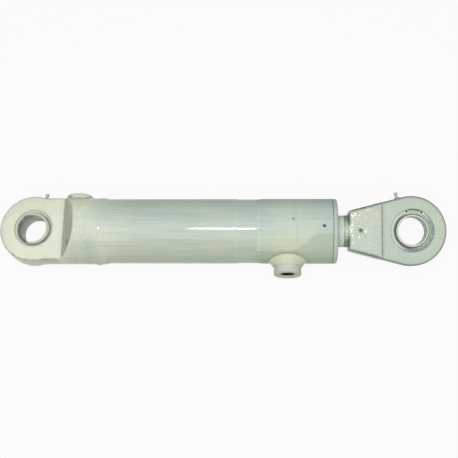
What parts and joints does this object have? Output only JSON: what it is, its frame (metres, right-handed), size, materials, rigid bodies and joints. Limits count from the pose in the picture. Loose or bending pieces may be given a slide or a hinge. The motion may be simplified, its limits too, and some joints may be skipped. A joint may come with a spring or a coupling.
{
  "type": "hydraulic cylinder",
  "caption": "Double-acting hydraulic cylinder, welded round barrel, screwed gland, screwed-on rod eye, spherical plain bearing in each eye.",
  "frame": {"origin": "centre of the base eye's pin bore", "axes": "+X along the cylinder from the base pin to the rod pin, +Z along the base pin, +Y towards the base port's side"},
  "size_m": [0.7895, 0.1515, 0.1188],
  "materials": {
    "forging_enamel": "semi-gloss enamel over rough forged steel",
    "tube_enamel": "semi-gloss enamel over smooth tube",
    "weld_enamel": "semi-gloss enamel over weld beads",
    "rod_chrome": "polished hard chrome, painted over where it stands out",
    "bearing_steel": "ground and phosphated bearing steel, oiled",
    "circlip_steel": "phosphated spring steel with enamel overspray",
    "nipple_steel": "zinc-plated steel",
    "screw_steel": "blackened steel",
    "machined_steel": "turned steel, oiled",
    "piston_iron": "turned spheroidal iron, oiled",
    "seal_rubber": "black nitrile rubber",
    "seal_polyurethane": "blue-green polyurethane",
    "strip_resin": "brown fabric-filled resin",
    "seal_ptfe": "bronze-filled fluoropolymer"
  },
  "bodies": {
    "barrel": {"base_end": "forging_enamel", "barrel_tube": "tube_enamel", "base_end_weld": "weld_enamel", "head_weld": "weld_enamel", "barrel_head": "tube_enamel", "head_port_boss": "tube_enamel", "head_port_weld": "weld_enamel", "gland": "tube_enamel", "gland_lock_screw": "screw_steel", "gland_o_ring": "seal_rubber", "gland_backup_ring": "seal_ptfe", "rod_guide_strips": "strip_resin", "rod_seal": "seal_polyurethane", "rod_buffer_seal": "seal_polyurethane", "rod_wiper": "seal_polyurethane", "base_bearing_outer_ring": "bearing_steel", "base_bearing_circlip": "circlip_steel", "base_grease_nipple": "nipple_steel"},
    "piston_seals": {"piston_wear_strips": "strip_resin", "piston_seal": "seal_ptfe", "piston_seal_energiser": "seal_rubber"},
    "rod": {"piston_rod": "rod_chrome", "piston": "piston_iron", "piston_nut": "machined_steel", "piston_o_ring": "seal_rubber", "rod_eye": "forging_enamel", "rod_eye_lock_screw": "screw_steel", "rod_bearing_outer_ring": "bearing_steel", "rod_bearing_circlip": "circlip_steel", "rod_grease_nipple": "nipple_steel"},
    "base_bearing_ring": {"base_bearing_inner_ring": "bearing_steel"},
    "rod_bearing_ring": {"rod_bearing_inner_ring": "bearing_steel"},
    "base_check_ball": {"base_nipple_ball": "bearing_steel"},
    "rod_check_ball": {"rod_nipple_ball": "bearing_steel"}
  },
  "joints": [
    {"name": "rod_slide", "type": "slide", "parent": "barrel", "child": "piston_seals", "axis": [1, 0, 0], "range_m": [0, 0.25]},
    {"name": "rod_spin", "type": "hinge", "parent": "piston_seals", "child": "rod", "pos_m": [0.4, 0, 0], "axis": [1, 0, 0], "continuous": true},
    {"name": "base_bearing_swivel", "type": "hinge", "parent": "barrel", "child": "base_bearing_ring", "pos_m": [0, 0, 0], "axis": [0, 0, 1], "continuous": true},
    {"name": "rod_bearing_swivel", "type": "hinge", "parent": "rod", "child": "rod_bearing_ring", "pos_m": [0.67, 0, 0], "axis": [0, -0.2588, 0.9659], "continuous": true},
    {"name": "base_nipple_check", "type": "slide", "parent": "barrel", "child": "base_check_ball", "axis": [-0.2351, -0.972, 0], "range_m": [0, 0.0008], "stiffness_N_per_m": 600, "springref_m": -0.003},
    {"name": "rod_nipple_check", "type": "slide", "parent": "rod", "child": "rod_check_ball", "axis": [0.2507, -0.9351, -0.2506], "range_m": [0, 0.0008], "stiffness_N_per_m": 600, "springref_m": -0.003}
  ]
}
